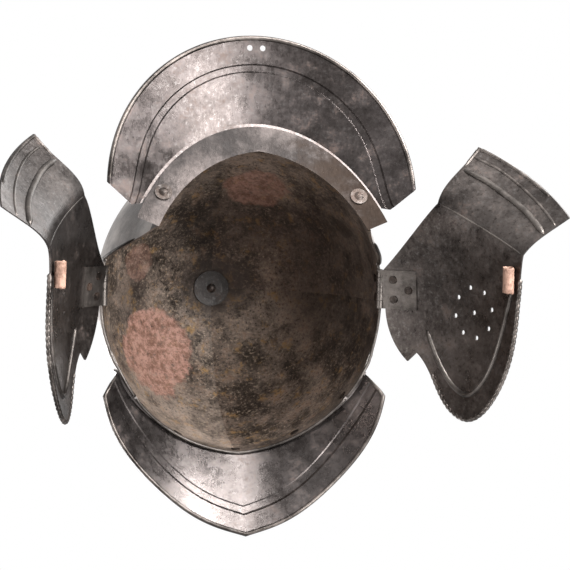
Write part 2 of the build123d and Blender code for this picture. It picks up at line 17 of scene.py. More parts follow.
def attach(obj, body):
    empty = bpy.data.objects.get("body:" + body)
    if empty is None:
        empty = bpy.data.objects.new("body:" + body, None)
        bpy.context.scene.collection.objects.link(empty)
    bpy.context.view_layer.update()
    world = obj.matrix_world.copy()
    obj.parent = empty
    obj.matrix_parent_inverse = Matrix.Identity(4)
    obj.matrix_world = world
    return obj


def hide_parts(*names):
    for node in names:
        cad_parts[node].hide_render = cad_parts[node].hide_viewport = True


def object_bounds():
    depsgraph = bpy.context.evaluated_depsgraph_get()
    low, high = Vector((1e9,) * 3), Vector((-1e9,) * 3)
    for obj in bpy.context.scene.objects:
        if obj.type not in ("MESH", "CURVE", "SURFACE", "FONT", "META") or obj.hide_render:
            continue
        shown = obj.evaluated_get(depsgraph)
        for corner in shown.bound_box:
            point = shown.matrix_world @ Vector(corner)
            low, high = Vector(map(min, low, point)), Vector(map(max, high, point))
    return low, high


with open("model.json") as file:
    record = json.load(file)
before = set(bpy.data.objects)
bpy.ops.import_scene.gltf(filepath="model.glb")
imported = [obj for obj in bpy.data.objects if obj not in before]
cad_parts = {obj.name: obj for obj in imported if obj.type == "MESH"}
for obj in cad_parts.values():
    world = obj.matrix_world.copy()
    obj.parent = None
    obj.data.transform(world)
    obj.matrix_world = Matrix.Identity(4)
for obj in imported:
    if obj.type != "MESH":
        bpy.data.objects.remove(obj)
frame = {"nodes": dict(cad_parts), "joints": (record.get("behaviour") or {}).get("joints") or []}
CAD_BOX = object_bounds()

log = logging.getLogger("burgonet")
logging.basicConfig(level=logging.INFO, format="%(name)s: %(message)s")

MM = 0.001
UP = Vector((0.0, 0.0, 1.0))
DOWN = Vector((0.0, 0.0, -1.0))
FORWARD = Vector((0.0, -1.0, 0.0))

# A Mix node has several sockets of one name, so its colour sockets are named by their place.
MIX_FACTOR, MIX_FIRST, MIX_SECOND, MIX_RESULT = 0, 6, 7, 2

Colour = tuple[float, float, float, float]
Span = tuple[float, float]
SheetPoint = tuple[float, float]
Socket = bpy.types.NodeSocket
Node = bpy.types.Node
Material = bpy.types.Material


def rgb(red: float, green: float, blue: float) -> Colour:
    """Opaque colour."""
    return red, green, blue, 1.0


def grey(level: float) -> Colour:
    """Opaque grey."""
    return rgb(level, level, level)


class Side(Enum):
    """Wearer's side of a cheek piece."""

    LEFT = "left"
    RIGHT = "right"

    @property
    def sign(self) -> float:
        """Sign of the side along X."""
        return 1.0 if self is Side.LEFT else -1.0


# Degrees from vertical at which each cheek piece lies open.
CHEEK_REST = {Side.LEFT: 21.0, Side.RIGHT: 34.0}


@dataclass(frozen=True)
class Pattern:
    """Noise of one kind of mark: features per metre, octaves and their roughness."""

    scale: float
    detail: float
    rough: float


BROAD_TONE = Pattern(14.0, 5.0, 0.65)
BLOTCHES = Pattern(60.0, 8.0, 0.7)
GRAIN = Pattern(520.0, 6.0, 0.7)
SCRATCHES = Pattern(900.0, 3.0, 0.5)
OCHRE_SPOTS = Pattern(85.0, 9.0, 0.75)
PATCH_FLECKS = Pattern(230.0, 5.0, 0.75)
PATCH_MOTTLE = Pattern(150.0, 9.0, 0.8)
HAMMER_DENTS = Pattern(55.0, 2.0, 0.4)
RUST_PITS = Pattern(260.0, 5.0, 0.7)
LEATHER_STAINS = Pattern(160.0, 6.0, 0.7)
LEATHER_WRINKLES = Pattern(420.0, 5.0, 0.7)

SCRATCH_STRETCH = (1.0, 0.16, 0.5)


class Graph:
    """Node graph with short calls for its sums and mixes."""

    def __init__(self, tree: bpy.types.NodeTree) -> None:
        """Start an empty graph in a tree."""
        self.tree = tree
        tree.nodes.clear()

    def add(self, kind: str, **settings: object) -> Node:
        """Add a node.

        Args:
            kind: Blender's node type.
            settings: Properties of the node.

        Returns:
            The new node.
        """
        node = self.tree.nodes.new(kind)
        for name, value in settings.items():
            setattr(node, name, value)
        return node

    def feed(self, socket: Socket, value: object) -> None:
        """Link a socket or set its constant.

        Args:
            socket: Input to feed.
            value: An output socket or a constant.
        """
        if isinstance(value, Socket):
            self.tree.links.new(value, socket)
        else:
            socket.default_value = value

    def fill(self, node: Node, *values: object) -> Node:
        """Feed a node's first inputs in their order.

        Args:
            node: The node.
            values: Sockets or constants.

        Returns:
            The node.
        """
        for socket, value in zip(node.inputs, values):
            self.feed(socket, value)
        return node

    def math(self, operation: str, *values: object) -> Socket:
        """Result of a math operation on sockets or numbers."""
        return self.fill(self.add("ShaderNodeMath", operation=operation), *values).outputs[0]

    def plus(self, first: object, second: object) -> Socket:
        """Sum of two values."""
        return self.math("ADD", first, second)

    def times(self, first: object, second: object) -> Socket:
        """Product of two values."""
        return self.math("MULTIPLY", first, second)

    def without(self, share: object) -> Socket:
        """What a share leaves of 1."""
        return self.math("SUBTRACT", 1.0, share)

    def blend(self, first: object, second: object, share: float) -> Socket:
        """Weighted sum, with the share that the first value has in it."""
        return self.plus(self.times(first, share), self.times(second, 1.0 - share))

    def wander(self, value: object, amount: float) -> Socket:
        """Noise moved to lie around zero, and scaled by an amount."""
        return self.times(self.math("SUBTRACT", value, 0.5), amount)

    def ramp(self, value: object, low: float, high: float) -> Socket:
        """Smooth step from 0 at low to 1 at high.

        Args:
            value: Input.
            low: Value that gives 0.
            high: Value that gives 1.

        Returns:
            The step.
        """
        node = self.add("ShaderNodeMapRange", interpolation_type="SMOOTHSTEP")
        self.feed(node.inputs["Value"], value)
        node.inputs["From Min"].default_value = low
        node.inputs["From Max"].default_value = high
        return node.outputs["Result"]

    def spots(self, value: object, threshold: float, softness: float, share: float) -> Socket:
        """Share inside the spots where noise passes a threshold, with an edge that is soft to both sides."""
        return self.times(self.ramp(value, threshold - softness, threshold + softness), share)

    def mix(self, factor: object, first: object, second: object) -> Socket:
        """Mix two colours.

        Args:
            factor: Share of the second colour.
            first: First colour.
            second: Second colour.

        Returns:
            The mixed colour.
        """
        node = self.add("ShaderNodeMix", data_type="RGBA")
        self.feed(node.inputs[MIX_FACTOR], factor)
        self.feed(node.inputs[MIX_FIRST], first)
        self.feed(node.inputs[MIX_SECOND], second)
        return node.outputs[MIX_RESULT]

    def mix_shaders(self, factor: object, first: Node, second: Node) -> Socket:
        """Two shaders mixed, by the share of the second."""
        shader = self.add("ShaderNodeMixShader")
        return self.fill(shader, factor, first.outputs[0], second.outputs[0]).outputs[0]


class SurfaceGraph(Graph):
    """Node graph of one material, on Object coordinates."""

    def __init__(self, name: str) -> None:
        """Start an empty material.

        Args:
            name: Name of the material.
        """
        self.material = bpy.data.materials.new(name)
        self.material.use_nodes = True
        super().__init__(self.material.node_tree)
        self.output = self.add("ShaderNodeOutputMaterial")
        coordinates = self.add("ShaderNodeTexCoord")
        self.object = coordinates.outputs["Object"]
        self.facing = coordinates.outputs["Normal"]

    def noise(self, pattern: Pattern, vector: Optional[Socket] = None) -> Socket:
        """Noise of one kind.

        Args:
            pattern: Its kind.
            vector: Coordinates other than Object.

        Returns:
            The noise factor.
        """
        node = self.add("ShaderNodeTexNoise")
        self.feed(node.inputs["Vector"], self.object if vector is None else vector)
        node.inputs["Scale"].default_value = pattern.scale
        node.inputs["Detail"].default_value = pattern.detail
        node.inputs["Roughness"].default_value = pattern.rough
        return node.outputs["Fac"]

    def vector(self, operation: str, *values: object) -> Socket:
        """Vector that an operation on sockets or vectors gives."""
        return self.fill(self.add("ShaderNodeVectorMath", operation=operation), *values).outputs["Vector"]

    def measure(self, operation: str, *values: object) -> Socket:
        """Number that an operation on sockets or vectors gives."""
        return self.fill(self.add("ShaderNodeVectorMath", operation=operation), *values).outputs["Value"]

    def axes(self) -> bpy.types.bpy_prop_collection:
        """X, Y and Z of the Object coordinates, by name."""
        return self.fill(self.add("ShaderNodeSeparateXYZ"), self.object).outputs

    def distance(self, centre: Vector, stretch: Vector) -> Socket:
        """Distance from a patch's centre in Object coordinates stretched by its size, 1 on its edge."""
        shifted = self.vector("SUBTRACT", self.object, centre)
        return self.measure("LENGTH", self.vector("DIVIDE", shifted, stretch))

    def bump(self, layers: list[tuple[Socket, float, float]]) -> Socket:
        """Stack bump layers.

        Args:
            layers: Height, strength and distance of each layer.

        Returns:
            The bumped normal.
        """
        normal = None
        for height, strength, distance in layers:
            node = self.add("ShaderNodeBump")
            node.inputs["Strength"].default_value = strength
            node.inputs["Distance"].default_value = distance
            self.feed(node.inputs["Height"], height)
            if normal is not None:
                self.feed(node.inputs["Normal"], normal)
            normal = node.outputs["Normal"]
        return normal

    def surface(self, colour: object, metallic: object, roughness: object, normal: Socket) -> Material:
        """Close the graph with one surface shader.

        Args:
            colour: Base colour.
            metallic: Metallic share.
            roughness: Roughness.
            normal: Bumped normal.

        Returns:
            The finished material.
        """
        shader = self.add("ShaderNodeBsdfPrincipled")
        self.feed(shader.inputs["Base Color"], colour)
        self.feed(shader.inputs["Metallic"], metallic)
        self.feed(shader.inputs["Roughness"], roughness)
        self.feed(shader.inputs["Normal"], normal)
        self.feed(self.output.inputs["Surface"], shader.outputs["BSDF"])
        return self.material


@dataclass(frozen=True)
class Patch:
    """Patch of old rust or paint on a surface, or a dark patch of stain and painted shade."""

    centre: Vector
    size: Vector
    strength: float
    # Whether it is a dark patch of stain and painted shade.
    stain_and_shade: bool


@dataclass(frozen=True)
class SkullZones:
    """Where the bowl's colour changes: the nape flange, the outside, and darker towards the foot of the wall.
    """

    flange_level: float = -105.0 * MM
    flange_tilt: float = 30.0
    flange_behind: float = 40.0 * MM
    flange_metallic: float = 0.85
    flange_right_tint: Colour = rgb(0.034, 0.0235, 0.0180)
    flange_dark: Colour = rgb(0.020, 0.017, 0.016)
    flange_light: Colour = rgb(0.112, 0.094, 0.088)
    flange_tone: Span = (0.42, 0.60)
    # Range of X over which the flange goes from its dark right-hand tint to its steel.
    worn: Span = (-72.0 * MM, -8.0 * MM)
    right_tint_ragged: float = 120.0 * MM
    polish_gap: float = 8.0 * MM
    outside_dark: Colour = rgb(0.17, 0.155, 0.148)
    outside_light: Colour = rgb(0.46, 0.422, 0.402)
    outside_tone: Span = (0.36, 0.60)
    foot_tint: Colour = rgb(0.040, 0.030, 0.026)
    foot_share: float = 0.55
    foot_height: Span = (-8.0 * MM, 26.0 * MM)
    keel_tilt: float = 0.40
    keel_width: float = 34.0 * MM

    def recolour(self, graph: SurfaceGraph, colour: Socket, tone: Socket,
                 blotch: Socket) -> tuple[Socket, Socket, Socket]:
        """Lay the zones over the bowl's colour.

        Args:
            graph: Graph to add to.
            colour: Colour inside the bowl.
            tone: Noise of the tones.
            blotch: Noise of the blotches.

        Returns:
            The new colour, the share of flange and outside, and the share of the flange under the darker,
            rougher right-hand tint.
        """
        lean = math.radians(self.flange_tilt)
        across = (0.0, -math.sin(lean), math.cos(lean))
        level = graph.measure("DOT_PRODUCT", graph.object, across)
        axes = graph.axes()
        under = graph.math("LESS_THAN", level, self.flange_level)
        flange = graph.times(under, graph.math("GREATER_THAN", axes["Y"], self.flange_behind))
        outside = graph.math("GREATER_THAN", graph.measure("DOT_PRODUCT", graph.facing, graph.object), 0.0)
        band = graph.math("MAXIMUM", flange, outside)
        # The inner wall is made darker towards its foot, near the rim.
        foot = graph.without(graph.ramp(axes["Z"], *self.foot_height))
        colour = graph.mix(graph.times(foot, self.foot_share), colour, self.foot_tint)
        steel = graph.mix(graph.ramp(tone, *self.flange_tone), self.flange_dark, self.flange_light)
        # Along X the flange goes from a dark tint at the wearer's right to its lighter steel at the left; the
        # tinted part is also made rougher.
        worn = graph.plus(axes["X"], graph.wander(blotch, self.right_tint_ragged))
        bright = graph.ramp(worn, *self.worn)
        colour = graph.mix(band, colour, graph.mix(bright, self.flange_right_tint, steel))
        polished = graph.mix(graph.ramp(tone, *self.outside_tone), self.outside_dark, self.outside_light)
        above = graph.math("GREATER_THAN", level, self.flange_level + self.polish_gap)
        colour = graph.mix(graph.times(outside, above), colour, polished)
        return colour, band, graph.times(flange, graph.without(bright))

    def keels(self, graph: SurfaceGraph) -> Socket:
        """Height of four shallow keels that meet at the apex.

        Args:
            graph: Graph to add to.

        Returns:
            The height in metres.
        """
        axes = graph.axes()
        rises = []
        for axis in ("X", "Y"):
            away = graph.math("DIVIDE", graph.math("ABSOLUTE", axes[axis]), self.keel_width)
            fall = graph.without(graph.math("EXPONENT", graph.times(away, -1.0)))
            rises.append(graph.times(fall, self.keel_tilt * self.keel_width))
        return graph.plus(*rises)


@dataclass(frozen=True)
class OldSteel:
    """Dark, old, hand-hammered steel."""

    name: str
    dark: Colour
    light: Colour
    tone: Span = (0.38, 0.62)
    broad_share: float = 0.6
    speckle: float = 0.35
    fine: Pattern = Pattern(330.0, 8.0, 0.8)
    light_specks: Span = (0.52, 0.64)
    dark_specks: Span = (0.38, 0.47)
    speckle_light: Colour = rgb(0.150, 0.140, 0.135)
    speckle_dark: Colour = rgb(0.008, 0.006, 0.005)
    rust: Colour = rgb(0.062, 0.032, 0.020)
    rust_from: float = 0.60
    rust_share: float = 0.7
    rust_softness: float = 0.08
    rust_blotch_share: float = 0.65
    ochre: Colour = rgb(0.36, 0.215, 0.085)
    ochre_from: float = 0.66
    ochre_share: float = 0.0
    ochre_softness: float = 0.05
    patches: tuple[Patch, ...] = ()
    patch_ragged: float = 0.9
    patch_edge: Span = (0.86, 1.0)
    patch_flecks: Span = (0.26, 0.50)
    patch_mottle: Span = (0.40, 0.60)
    patch_tint: Colour = rgb(0.45, 0.255, 0.200)
    patch_dark: Colour = rgb(0.19, 0.092, 0.062)
    # Soft edge and tint of the dark patches, which are stain and painted shade.
    stain_and_shade_edge: Span = (0.45, 1.15)
    stain_and_shade_tint: Colour = rgb(0.040, 0.030, 0.026)
    zones: Optional[SkullZones] = None
    metallic: float = 0.90
    smooth: float = 0.30
    rough: float = 0.55
    shine_blotch_share: float = 0.78
    shine: Span = (0.30, 0.70)
    rust_roughness: float = 0.22
    flange_roughness: float = 0.32
    hammer: float = 0.25
    hammer_depth: float = 1.2 * MM
    pits: float = 0.25
    pit_depth: float = 0.35 * MM
    grain_share: float = 0.7
    grain_depth: float = 0.12 * MM
    scratch_share: float = 0.15
    scratch_depth: float = 0.05 * MM

    def speckled(self, graph: SurfaceGraph, tone: Socket) -> Socket:
        """Mottled steel with light specks and dark pin holes.

        Args:
            graph: Graph to add to.
            tone: Noise of the tones.

        Returns:
            Its colour.
        """
        colour = graph.mix(graph.ramp(tone, *self.tone), self.dark, self.light)
        fine = graph.noise(self.fine)
        specks = graph.times(graph.ramp(fine, *self.light_specks), self.speckle)
        colour = graph.mix(specks, colour, self.speckle_light)
        holes = graph.times(graph.without(graph.ramp(fine, *self.dark_specks)), self.speckle)
        return graph.mix(holes, colour, self.speckle_dark)

    def patched(self, graph: SurfaceGraph, colour: Socket, bare: Socket,
                blotch: Socket) -> tuple[Socket, Socket]:
        """Lay the patches, and the dark patches of stain and painted shade, over a colour.

        Args:
            graph: Graph to add to.
            colour: Colour so far.
            bare: Share of bare metal so far.
            blotch: Noise that makes the edges ragged.

        Returns:
            The new colour and share of bare metal.
        """
        for patch in self.patches:
            reach = graph.distance(patch.centre, patch.size)
            ragged = graph.plus(reach, graph.wander(blotch, self.patch_ragged))
            edge = self.stain_and_shade_edge if patch.stain_and_shade else self.patch_edge
            mask = graph.without(graph.ramp(ragged, *edge))
            # A dark patch is stain and painted shade: it mixes the colour towards one dark tint.
            if patch.stain_and_shade:
                colour = graph.mix(graph.times(mask, patch.strength), colour, self.stain_and_shade_tint)
                continue
            flecks = graph.ramp(graph.noise(PATCH_FLECKS), *self.patch_flecks)
            mask = graph.times(graph.times(mask, flecks), patch.strength)
            mottle = graph.ramp(graph.noise(PATCH_MOTTLE), *self.patch_mottle)
            colour = graph.mix(mask, colour, graph.mix(mottle, self.patch_dark, self.patch_tint))
            bare = graph.times(bare, graph.without(mask))
        return colour, bare

    def make(self) -> Material:
        """Build the material.

        Returns:
            The finished material.
        """
        graph = SurfaceGraph(self.name)
        blotch = graph.noise(BLOTCHES)
        grain = graph.noise(GRAIN)
        scratches = graph.noise(SCRATCHES, graph.vector("MULTIPLY", graph.object, SCRATCH_STRETCH))
        tone = graph.blend(graph.noise(BROAD_TONE), blotch, self.broad_share)
        colour = self.speckled(graph, tone)
        rust_noise = graph.blend(blotch, grain, self.rust_blotch_share)
        rust = graph.spots(rust_noise, self.rust_from, self.rust_softness, self.rust_share)
        colour = graph.mix(rust, colour, self.rust)
        if self.ochre_share > 0.0:
            ochre_noise = graph.noise(OCHRE_SPOTS)
            ochre = graph.spots(ochre_noise, self.ochre_from, self.ochre_softness, self.ochre_share)
            colour = graph.mix(ochre, colour, self.ochre)
        colour, bare = self.patched(graph, colour, graph.without(rust), blotch)

        gloss = graph.ramp(graph.blend(blotch, scratches, self.shine_blotch_share), *self.shine)
        roughness = graph.plus(graph.times(gloss, self.rough - self.smooth), self.smooth)
        roughness = graph.plus(roughness, graph.times(graph.without(bare), self.rust_roughness))
        layers = [
            (graph.noise(HAMMER_DENTS), self.hammer, self.hammer_depth),
            (graph.noise(RUST_PITS), self.pits, self.pit_depth),
            (grain, self.pits * self.grain_share, self.grain_depth),
            (scratches, self.pits * self.scratch_share, self.scratch_depth),
        ]
        metal = self.metallic
        if self.zones is not None:
            colour, band, right_tinted = self.zones.recolour(graph, colour, tone, blotch)
            metal = graph.plus(graph.times(band, self.zones.flange_metallic - self.metallic), self.metallic)
            roughness = graph.plus(roughness, graph.times(right_tinted, self.flange_roughness))
            layers.append((graph.times(self.zones.keels(graph), graph.without(band)), 1.0, 1.0))
        return graph.surface(colour, graph.times(bare, metal), roughness, graph.bump(layers))


@dataclass(frozen=True)
class OldLeather:
    """Pale, dry, cracked leather."""

    name: str = "pale_leather"
    dark: Colour = rgb(0.15, 0.080, 0.054)
    light: Colour = rgb(0.36, 0.215, 0.160)
    stain_tone: Span = (0.35, 0.62)
    smooth: float = 0.6
    stain_roughness: float = 0.2
    crackle_scale: float = 1500.0
    crackle: float = 0.35
    crackle_depth: float = 0.12 * MM
    wrinkle: float = 0.5
    wrinkle_depth: float = 0.3 * MM

    def make(self) -> Material:
        """Build the material.

        Returns:
            The finished material.
        """
        graph = SurfaceGraph(self.name)
        stains = graph.noise(LEATHER_STAINS)
        colour = graph.mix(graph.ramp(stains, *self.stain_tone), self.dark, self.light)
        cells = graph.fill(graph.add("ShaderNodeTexVoronoi"), graph.object)
        cells.inputs["Scale"].default_value = self.crackle_scale
        normal = graph.bump([
            (cells.outputs["Distance"], self.crackle, self.crackle_depth),
            (graph.noise(LEATHER_WRINKLES), self.wrinkle, self.wrinkle_depth),
        ])
        roughness = graph.plus(graph.times(stains, self.stain_roughness), self.smooth)
        return graph.surface(colour, 0.0, roughness, normal)


SKULL_IRON = OldSteel(
    "skull_iron", rgb(0.030, 0.0225, 0.0175), rgb(0.33, 0.262, 0.216), tone=(0.40, 0.63),
    speckle=0.95, speckle_light=rgb(0.42, 0.33, 0.25), fine=Pattern(430.0, 8.0, 0.8),
    rust=rgb(0.20, 0.105, 0.055), rust_from=0.58, rust_share=0.6, ochre_from=0.60, ochre_share=0.75,
    zones=SkullZones(), metallic=0.20, smooth=0.38, rough=0.66, hammer=0.5, pits=0.9,
)
APEX_IRON = OldSteel(
    "apex_iron", rgb(0.010, 0.0082, 0.0074), rgb(0.044, 0.0365, 0.0330),
    metallic=0.5, smooth=0.40, rough=0.65, hammer=0.3, pits=0.8,
)
FITTING_IRON = OldSteel(
    "fitting_iron", rgb(0.011, 0.0085, 0.0074), rgb(0.052, 0.0415, 0.0360),
    rust_from=0.56, rust_share=0.8, hammer=0.1,
)
GUARD_STEEL = OldSteel(
    "guard_steel", rgb(0.026, 0.0212, 0.0194), rgb(0.098, 0.0840, 0.0810), tone=(0.32, 0.70),
    smooth=0.19, rough=0.40, hammer=0.18, pits=0.14,
)
# Painted highlight: the peak's steel is the guard's steel made lighter, so the whole peak shows brighter than
# the guard.
PEAK_STEEL_LIT = replace(
    GUARD_STEEL, name="peak_steel_lit", dark=rgb(0.050, 0.0425, 0.0400), light=rgb(0.150, 0.132, 0.127),
    smooth=0.20,
)
CHEEK_STEEL = OldSteel(
    "cheek_steel", rgb(0.030, 0.0250, 0.0228), rgb(0.118, 0.101, 0.093), tone=(0.32, 0.70),
    speckle=0.55, rust_from=0.62, smooth=0.24, rough=0.44,
)
LINE_STEEL = OldSteel(
    "cheek_line_steel", rgb(0.035, 0.030, 0.027), rgb(0.150, 0.132, 0.120), rust_from=0.64, hammer=0.1,
)
EDGE_STEEL = OldSteel(
    "worn_edge_steel", rgb(0.030, 0.025, 0.022), rgb(0.190, 0.165, 0.150),
    rust_from=0.62, smooth=0.28, rough=0.45, hammer=0.05,
)


@dataclass(frozen=True)
class Finishes:
    """Finishes that the sub-assemblies share."""

    fitting: Material
    cheek: Material
    line: Material
    edge: Material
    leather: Material

    @classmethod
    def make(cls) -> "Finishes":
        """Build the shared materials."""
        return cls(*(finish.make() for finish in
                     (FITTING_IRON, CHEEK_STEEL, LINE_STEEL, EDGE_STEEL, OldLeather())))


def to_object(shape: bmesh.types.BMesh, name: str, material: Material) -> bpy.types.Object:
    """Turn a shape into an object of the scene.

    Args:
        shape: The shape, which is freed.
        name: Name of the object.
        material: Its finish.

    Returns:
        The object.
    """
    mesh = bpy.data.meshes.new(name)
    shape.to_mesh(mesh)
    shape.free()
    mesh.materials.append(material)
    item = bpy.data.objects.new(name, mesh)
    bpy.context.scene.collection.objects.link(item)
    return item


@dataclass
class Sight:
    """The photograph's camera."""

    distance: float = 1.30
    towards_left: float = 11.03
    towards_rear: float = 3.17
    roll: float = 1.36
    target: Vector = field(default_factory=lambda: Vector((-0.0327, 0.0110, 0.0)))
    pixels_per_metre: float = 1391.4
    picture: float = 570.0
    sensor: float = 36.0
    nearest: float = 0.05
    farthest: float = 20.0

    def __post_init__(self) -> None:
        """Work out the eye and the picture's axes."""
        left, rear = math.radians(self.towards_left), math.radians(self.towards_rear)
        self.back = Vector((math.sin(left) * math.cos(rear), math.sin(rear), -math.cos(left) * math.cos(rear)))
        self.eye = self.target + self.back * self.distance
        forward = -self.back
        across = forward.cross(Vector((0.0, 1.0, 0.0))).normalized()
        above = across.cross(forward)
        turn = math.radians(self.roll)
        self.across = across * math.cos(turn) + above * math.sin(turn)
        self.above = above * math.cos(turn) - across * math.sin(turn)

    def ray(self, column: float, row: float) -> Vector:
        """Direction through a pixel of the photograph.

        Args:
            column: Pixel column.
            row: Pixel row.

        Returns:
            The unit direction from the eye.
        """
        half = self.picture / 2
        across = self.across * ((column - half) / self.pixels_per_metre)
        above = self.above * ((half - row) / self.pixels_per_metre)
        return (across + above - self.back * self.distance).normalized()

    def place_camera(self) -> None:
        """Create the scene's camera."""
        data = bpy.data.cameras.new("photo_camera")
        data.sensor_width = self.sensor
        data.lens = data.sensor_width * self.distance * self.pixels_per_metre / self.picture
        data.clip_start = self.nearest
        data.clip_end = self.farthest
        camera = bpy.data.objects.new("photo_camera", data)
        bpy.context.scene.collection.objects.link(camera)
        turn = Matrix((self.across, self.above, self.back)).transposed()
        camera.matrix_world = Matrix.Translation(self.eye) @ turn.to_4x4()
        bpy.context.scene.camera = camera


@dataclass(frozen=True)
class Lamp:
    """Soft square lamp: its place, the side of its square and its watts."""

    name: str
    place: tuple[float, float, float]
    width: float
    power: float

    def build(self, aim: Vector) -> None:
        """Hang the lamp.

        Args:
            aim: What it points at.
        """
        data = bpy.data.lights.new(self.name, "AREA")
        data.shape = "SQUARE"
        data.size = self.width
        data.energy = self.power
        lamp = bpy.data.objects.new(self.name, data)
        bpy.context.scene.collection.objects.link(lamp)
        lamp.location = self.place
        lamp.rotation_mode = "QUATERNION"
        lamp.rotation_quaternion = (aim - Vector(self.place)).to_track_quat("-Z", "Y")


@dataclass
class Studio:
    """Plain pale floor, white surround and soft lamps."""

    surround: float = 0.42
    reflected: float = 0.55
    floor_gap: float = 0.002
    floor_size: float = 3.0
    floor_grey: float = 0.86
    aim: Vector = field(default_factory=lambda: Vector((0.0, 0.0, -0.02)))
    lamps: tuple[Lamp, ...] = (
        Lamp("key_softbox", (-0.72, 0.29, -1.28), 0.55, 33.0),
        Lamp("grazing_softbox", (-0.78, 1.0, -0.46), 0.40, 28.0),
        Lamp("rear_softbox", (-0.24, 1.16, -0.68), 0.5, 22.0),
        Lamp("left_softbox", (1.15, -0.1, -0.75), 0.5, 8.0),
        Lamp("front_softbox", (-0.55, -1.0, -0.8), 0.5, 7.0),
        Lamp("top_softbox", (0.5, -0.6, 1.4), 0.8, 14.0),
        Lamp("top_back_softbox", (-0.9, 0.8, 1.0), 0.8, 9.0),
    )

    def build_world(self) -> None:
        """White to the camera, dimmer in reflections, and dimmer still as light."""
        world = bpy.data.worlds.new("studio")
        bpy.context.scene.world = world
        world.use_nodes = True
        graph = Graph(world.node_tree)
        light = graph.add("ShaderNodeBackground")
        light.inputs["Color"].default_value = grey(self.surround)
        seen = graph.add("ShaderNodeBackground")
        seen.inputs["Color"].default_value = grey(1.0)
        path = graph.add("ShaderNodeLightPath").outputs
        direct = graph.math("MAXIMUM", path["Is Camera Ray"], path["Is Transmission Ray"])
        mirrored = graph.times(path["Is Glossy Ray"], self.reflected)
        shown = graph.math("MAXIMUM", direct, mirrored)
        output = graph.add("ShaderNodeOutputWorld")
        graph.feed(output.inputs["Surface"], graph.mix_shaders(shown, light, seen))

    def build_floor(self) -> None:
        """Pale floor that only a camera above it sees, so the bowl can be seen from below."""
        shape = bmesh.new()
        bmesh.ops.create_grid(shape, x_segments=1, y_segments=1, size=self.floor_size)
        low = CAD_BOX[0].z - self.floor_gap
        bmesh.ops.translate(shape, vec=Vector((0.0, 0.0, low)), verts=shape.verts)
        graph = SurfaceGraph("floor_white")
        white = graph.add("ShaderNodeBsdfDiffuse")
        white.inputs["Color"].default_value = grey(self.floor_grey)
        clear = graph.add("ShaderNodeBsdfTransparent")
        path = graph.add("ShaderNodeLightPath").outputs
        front = graph.without(graph.add("ShaderNodeNewGeometry").outputs["Backfacing"])
        shown = graph.times(path["Is Camera Ray"], front)
        graph.feed(graph.output.inputs["Surface"], graph.mix_shaders(shown, clear, white))
        floor = to_object(shape, "floor", graph.material)

    def build(self) -> None:
        """Build the studio."""
        self.build_world()
        self.build_floor()
        for lamp in self.lamps:
            lamp.build(self.aim)


def curve_through(points: tuple[SheetPoint, ...], count: int = 14) -> list[SheetPoint]:
    """Smooth line through points.

    Args:
        points: Down and forward of each point.
        count: Number of steps between two points.

    Returns:
        The points of the line.
    """
    ends = [Vector(point) for point in (points[0], *points, points[-1])]
    line = []
    for before, start, end, after in zip(ends, ends[1:], ends[2:], ends[3:]):
        for step in range(count):
            share = step / count
            first = (end - before) * 0.5
            last = (after - start) * 0.5
            square, cube = share**2, share**3
            place = (start * (2 * cube - 3 * square + 1) + first * (cube - 2 * square + share)
                     + end * (3 * square - 2 * cube) + last * (cube - square))
            line.append((place.x, place.y))
    line.append(points[-1])
    return line


def directions(turn: Span, count: int) -> list[float]:
    """Angles in radians, evenly spaced from the first to the last of two in degrees."""
    return [math.radians(turn[0] + (turn[1] - turn[0]) * (index / (count - 1))) for index in range(count)]


def horizontal(angle: float) -> Vector:
    """Level direction at an angle from the rear, to the left."""
    return Vector((math.sin(angle), math.cos(angle), 0.0))


def last_found(found: Callable[[float], bool], inside: float, outside: float, rounds: int) -> float:
    """Close in on a sheet's edge by halving.

    Args:
        found: Whether the sheet is there at a value.
        inside: A value where it is.
        outside: A value where it isn't.
        rounds: How often the way between them is halved.

    Returns:
        The value nearest the edge where the sheet was found.
    """
    for _ in range(rounds):
        middle = (inside + outside) / 2
        if found(middle):
            inside = middle
        else:
            outside = middle
    return inside


@dataclass(frozen=True)
class EdgeSearch:
    """Search for a sheet's edge from outside it, in steps inwards and then by halving the last step."""

    farthest: float
    nearest: float
    step: float
    rounds: int

    def edge(self, found: Callable[[float], bool]) -> float:
        """Find the edge.

        Args:
            found: Whether the sheet is there at a distance.

        Returns:
            The distance of the edge.
        """
        reach = self.farthest
        while reach > self.nearest and not found(reach):
            reach -= self.step
        return last_found(found, reach, reach + self.step, self.rounds)


def tree_of(name: str) -> BVHTree:
    """Search tree of a CAD node."""
    mesh = frame["nodes"][name].data
    return BVHTree.FromPolygons([vert.co for vert in mesh.vertices],
                                [tuple(face.vertices) for face in mesh.polygons])


def dress(name: str, material: Material) -> None:
    """Give a CAD node its finish.

    Args:
        name: The node.
        material: Its finish.
    """
    slots = frame["nodes"][name].data.materials
    slots.clear()
    slots.append(material)


def close_piece(shape: bmesh.types.BMesh, name: str, material: Material) -> bpy.types.Object:
    """Turn a closed shape into a smooth piece of the scene, with its faces outwards.

    Args:
        shape: The shape, which is freed.
        name: Name of the piece.
        material: Its finish.

    Returns:
        The piece.
    """
    bmesh.ops.recalc_face_normals(shape, faces=shape.faces)
    for face in shape.faces:
        face.smooth = True
    return to_object(shape, name, material)


def next_in_ring(vert: bmesh.types.BMVert, fresh: set[bmesh.types.BMVert]) -> bmesh.types.BMVert:
    """The fresh vertex that an old one was extruded to."""
    return next(edge.other_vert(vert) for edge in vert.link_edges if edge.other_vert(vert) in fresh)


